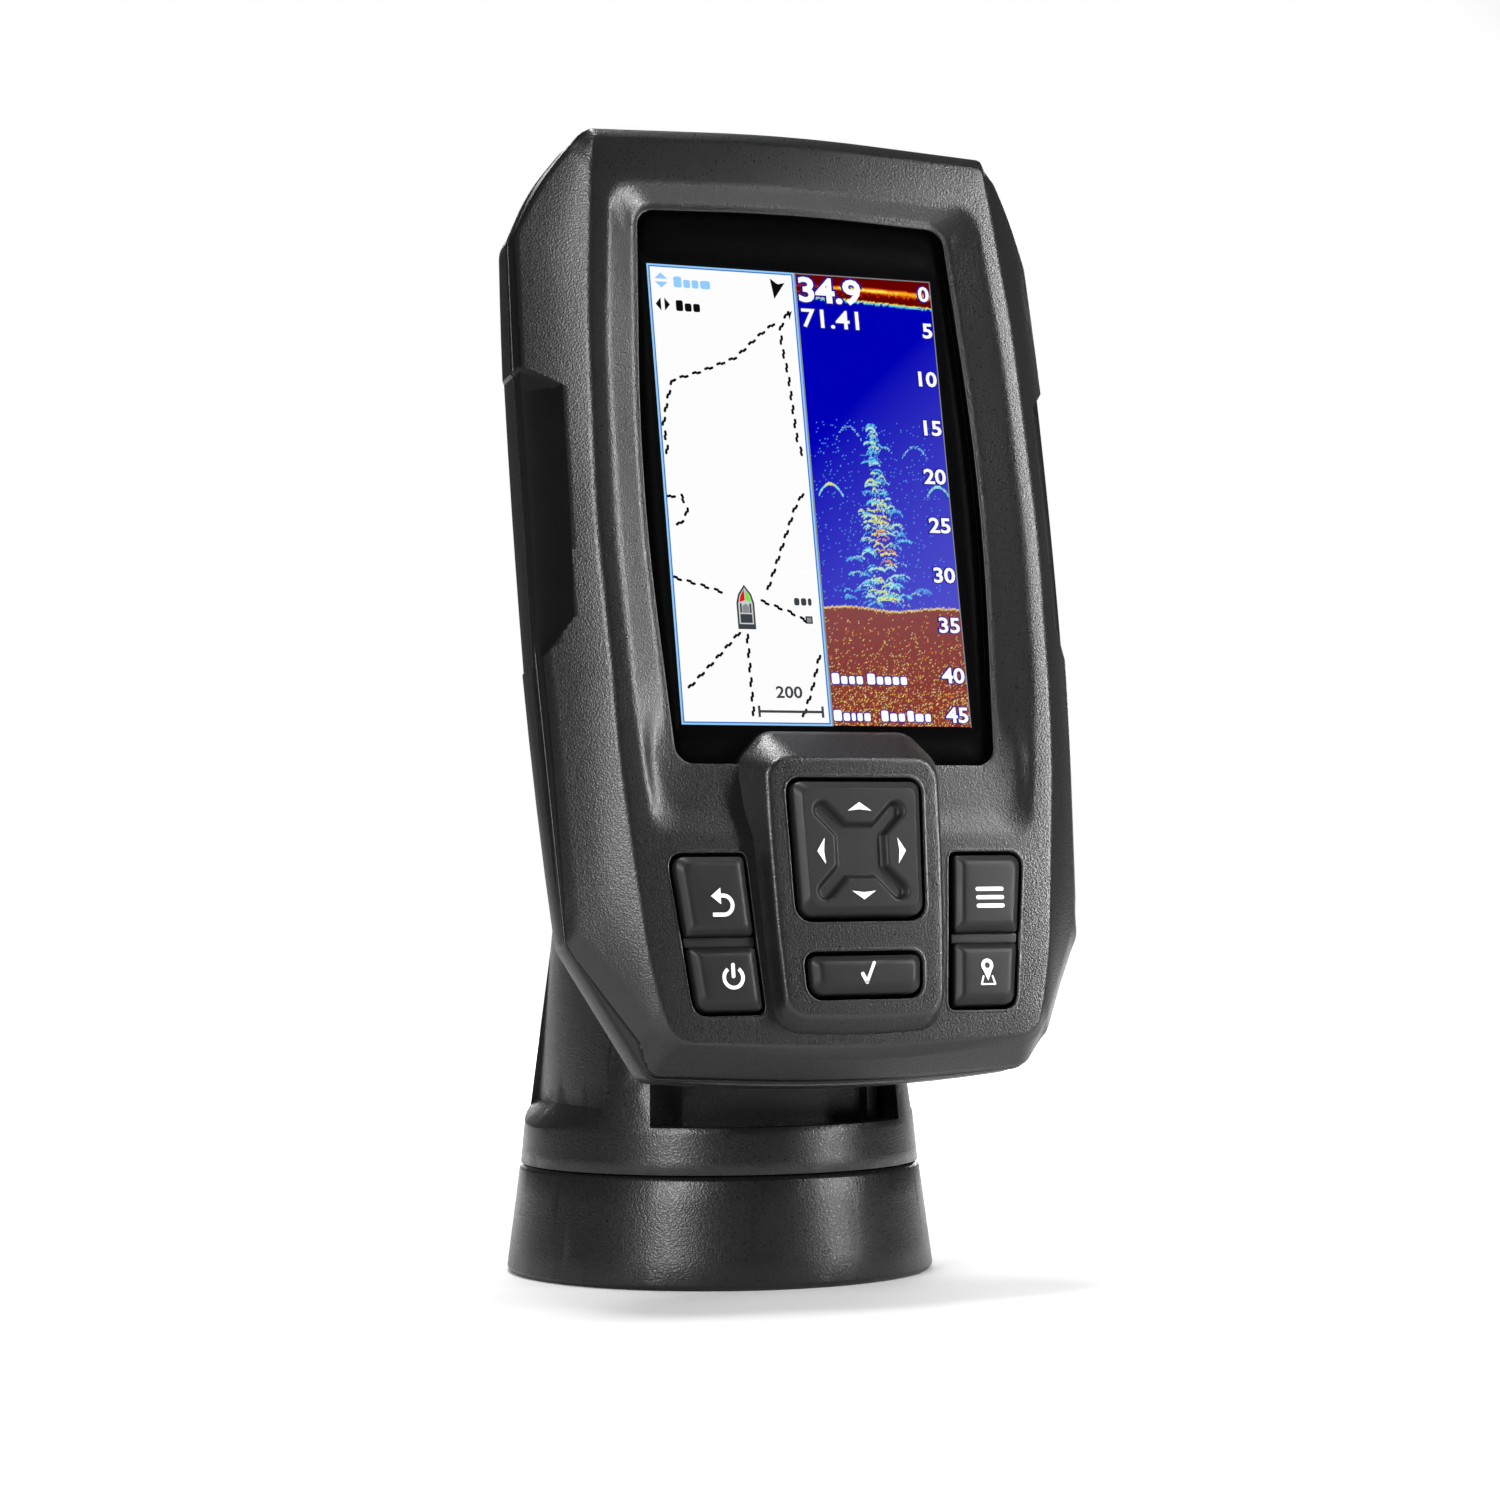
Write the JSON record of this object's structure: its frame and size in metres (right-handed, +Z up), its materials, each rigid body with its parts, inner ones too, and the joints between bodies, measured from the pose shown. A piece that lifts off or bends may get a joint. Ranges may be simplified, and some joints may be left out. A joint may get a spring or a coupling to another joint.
{
  "type": "fish finder",
  "caption": "Portrait marine fish finder display with keys below the screen, on a tilting quick-release cradle and a round swivel mount.",
  "frame": {"origin": "on the swivel axis, at the underside of the round mount", "axes": "+Z up along the swivel axis, screen faces -Y, +X to the viewer's right when facing the screen from the front"},
  "size_m": [0.0908, 0.0947, 0.1835],
  "materials": {
    "housing": "fine pebble-textured charcoal moulding",
    "rear_housing": "smooth satin charcoal moulding",
    "mount_plastic": "fine pebble-textured charcoal moulding",
    "window_glass": "clear window with a black printed border",
    "screen": "lit colour display",
    "key_rubber": "satin black elastomer",
    "ink": "white printed symbols",
    "seal_rubber": "soft black seal",
    "board": "green solder mask",
    "steel": "stainless fasteners",
    "can_metal": "thin tinned shield",
    "spring_steel": "drawn wire",
    "brass_parts": "plated contacts",
    "white_plastic": "natural acetal",
    "black_component": "potted component",
    "amber_film": "polyimide film"
  },
  "bodies": {
    "base": {"base_ring": "mount_plastic", "base_plate": "mount_plastic", "swivel_bolt": "steel", "swivel_nut": "steel", "swivel_wave_washer": "spring_steel", "swivel_glide_ring": "white_plastic"},
    "tower": {"swivel_tower": "mount_plastic", "swivel_bushing": "white_plastic", "tilt_bolt": "steel", "tilt_nut": "steel", "tilt_washers": "white_plastic"},
    "head": {"front_shell": "housing", "rear_shell": "rear_housing", "shell_gasket": "seal_rubber", "display_window": "window_glass", "window_seal": "seal_rubber", "lcd_panel": "screen", "backlight_unit": "white_plastic", "lcd_bracket": "steel", "display_flex": "amber_film", "main_board": "board", "gps_antenna": "black_component", "shield_can": "can_metal", "sonar_transformer": "black_component", "buzzer": "black_component", "capacitors": "black_component", "key_switches": "steel", "keypad_guide": "rear_housing", "connector_body": "rear_housing", "connector_pins": "brass_parts", "connector_o_ring": "seal_rubber", "vent_plug": "seal_rubber", "board_screws": "steel", "shell_screws": "steel", "cradle": "rear_housing", "tilt_bushings": "white_plastic", "latch_pin": "steel", "latch_spring": "spring_steel"},
    "release_latch": {"release_latch": "rear_housing"},
    "rocker_cross": {"gimbal_cross": "white_plastic"},
    "direction_pad": {"direction_pad": "key_rubber"},
    "menu_key": {"menu_key": "key_rubber"},
    "mark_key": {"mark_key": "key_rubber"},
    "back_key": {"back_key": "key_rubber"},
    "power_key": {"power_key": "key_rubber"},
    "enter_key": {"enter_key": "key_rubber"}
  },
  "joints": [
    {"name": "swivel", "type": "hinge", "parent": "base", "child": "tower", "pos_m": [0, 0, 0.0178], "axis": [0, 0, 1], "range_deg": [-60, 60]},
    {"name": "tilt", "type": "hinge", "parent": "tower", "child": "head", "pos_m": [0, 0.003, 0.088], "axis": [-1, 0, 0], "range_deg": [-8, 30]},
    {"name": "latch_release", "type": "hinge", "parent": "head", "child": "release_latch", "pos_m": [0, -0.00019, 0.10596], "axis": [-1, 0, 0], "range_deg": [0, 22], "stiffness_Nm_per_rad": 0.05, "springref_deg": -5.73},
    {"name": "rocker_sideways", "type": "hinge", "parent": "head", "child": "rocker_cross", "pos_m": [0, -0.05078, 0.06789], "axis": [0, 0.1822, 0.9833], "range_deg": [-4, 4], "stiffness_Nm_per_rad": 0.2},
    {"name": "rocker_up_down", "type": "hinge", "parent": "rocker_cross", "child": "direction_pad", "pos_m": [0, -0.05078, 0.06789], "axis": [1, 0, 0], "range_deg": [-4, 4], "stiffness_Nm_per_rad": 0.2},
    {"name": "menu_press", "type": "slide", "parent": "head", "child": "menu_key", "axis": [0, 0.9833, -0.1822], "range_m": [0, 0.0009], "stiffness_N_per_m": 900, "springref_m": -0.0003},
    {"name": "mark_press", "type": "slide", "parent": "head", "child": "mark_key", "axis": [0, 0.9833, -0.1822], "range_m": [0, 0.0009], "stiffness_N_per_m": 900, "springref_m": -0.0003},
    {"name": "back_press", "type": "slide", "parent": "head", "child": "back_key", "axis": [0, 0.9833, -0.1822], "range_m": [0, 0.0009], "stiffness_N_per_m": 900, "springref_m": -0.0003},
    {"name": "power_press", "type": "slide", "parent": "head", "child": "power_key", "axis": [0, 0.9833, -0.1822], "range_m": [0, 0.0009], "stiffness_N_per_m": 900, "springref_m": -0.0003},
    {"name": "enter_press", "type": "slide", "parent": "head", "child": "enter_key", "axis": [0, 0.9833, -0.1822], "range_m": [0, 0.0009], "stiffness_N_per_m": 900, "springref_m": -0.0003}
  ]
}
